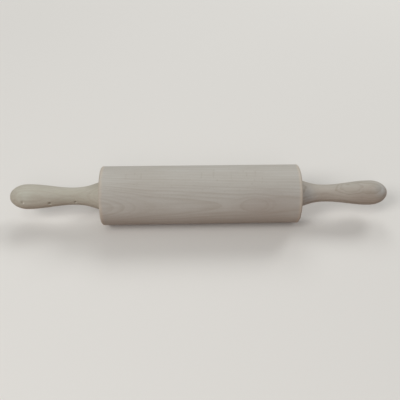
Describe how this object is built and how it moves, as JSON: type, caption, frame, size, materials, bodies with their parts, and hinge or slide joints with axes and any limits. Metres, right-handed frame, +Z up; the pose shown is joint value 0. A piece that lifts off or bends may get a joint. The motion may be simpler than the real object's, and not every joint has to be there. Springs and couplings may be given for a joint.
{
  "type": "rolling pin",
  "caption": "Turned wooden rolling pin: a cylindrical barrel that spins on ball bearings between two slim, bulb-ended handles fixed to a steel rod.",
  "frame": {"origin": "on the table, midway along the pin, straight under the barrel's axle", "axes": "+X along the pin towards the right handle, +Y away from the viewer of the picture, +Z up"},
  "size_m": [0.3844, 0.06, 0.06],
  "materials": {
    "barrel_wood": "matte",
    "handle_wood": "matte",
    "rod_steel": "satin",
    "insert_brass": "satin",
    "washer_nylon": "satin",
    "spring_steel": "satin",
    "race_steel": "satin",
    "shield_steel": "satin",
    "cage_nylon": "satin",
    "ball_steel": "polished"
  },
  "bodies": {
    "axle": {"axle_rod": "rod_steel", "left_handle": "handle_wood", "left_threaded_insert": "insert_brass", "left_thrust_washer": "washer_nylon", "left_retaining_ring": "spring_steel", "left_inner_race": "race_steel", "right_handle": "handle_wood", "right_threaded_insert": "insert_brass", "right_thrust_washer": "washer_nylon", "right_retaining_ring": "spring_steel", "right_inner_race": "race_steel"},
    "barrel": {"barrel": "barrel_wood", "left_outer_race": "race_steel", "left_outer_shield": "shield_steel", "left_inner_shield": "shield_steel", "right_outer_race": "race_steel", "right_outer_shield": "shield_steel", "right_inner_shield": "shield_steel"},
    "left_cage": {"left_ball_cage": "cage_nylon", "left_ball_1": "ball_steel", "left_ball_2": "ball_steel", "left_ball_3": "ball_steel", "left_ball_4": "ball_steel", "left_ball_5": "ball_steel", "left_ball_6": "ball_steel", "left_ball_7": "ball_steel"},
    "right_cage": {"right_ball_cage": "cage_nylon", "right_ball_1": "ball_steel", "right_ball_2": "ball_steel", "right_ball_3": "ball_steel", "right_ball_4": "ball_steel", "right_ball_5": "ball_steel", "right_ball_6": "ball_steel", "right_ball_7": "ball_steel"}
  },
  "joints": [
    {"name": "barrel_spin", "type": "hinge", "parent": "axle", "child": "barrel", "pos_m": [0, 0, 0.03], "axis": [1, 0, 0], "continuous": true},
    {"name": "left_cage_spin", "type": "hinge", "parent": "axle", "child": "left_cage", "pos_m": [-0.0955, 0, 0.03], "axis": [1, 0, 0], "continuous": true},
    {"name": "right_cage_spin", "type": "hinge", "parent": "axle", "child": "right_cage", "pos_m": [0.0955, 0, 0.03], "axis": [1, 0, 0], "continuous": true}
  ],
  "couplings": [
    {"joint": "left_cage_spin", "follows": "barrel_spin", "ratio": 0.63227},
    {"joint": "right_cage_spin", "follows": "barrel_spin", "ratio": 0.63227}
  ]
}
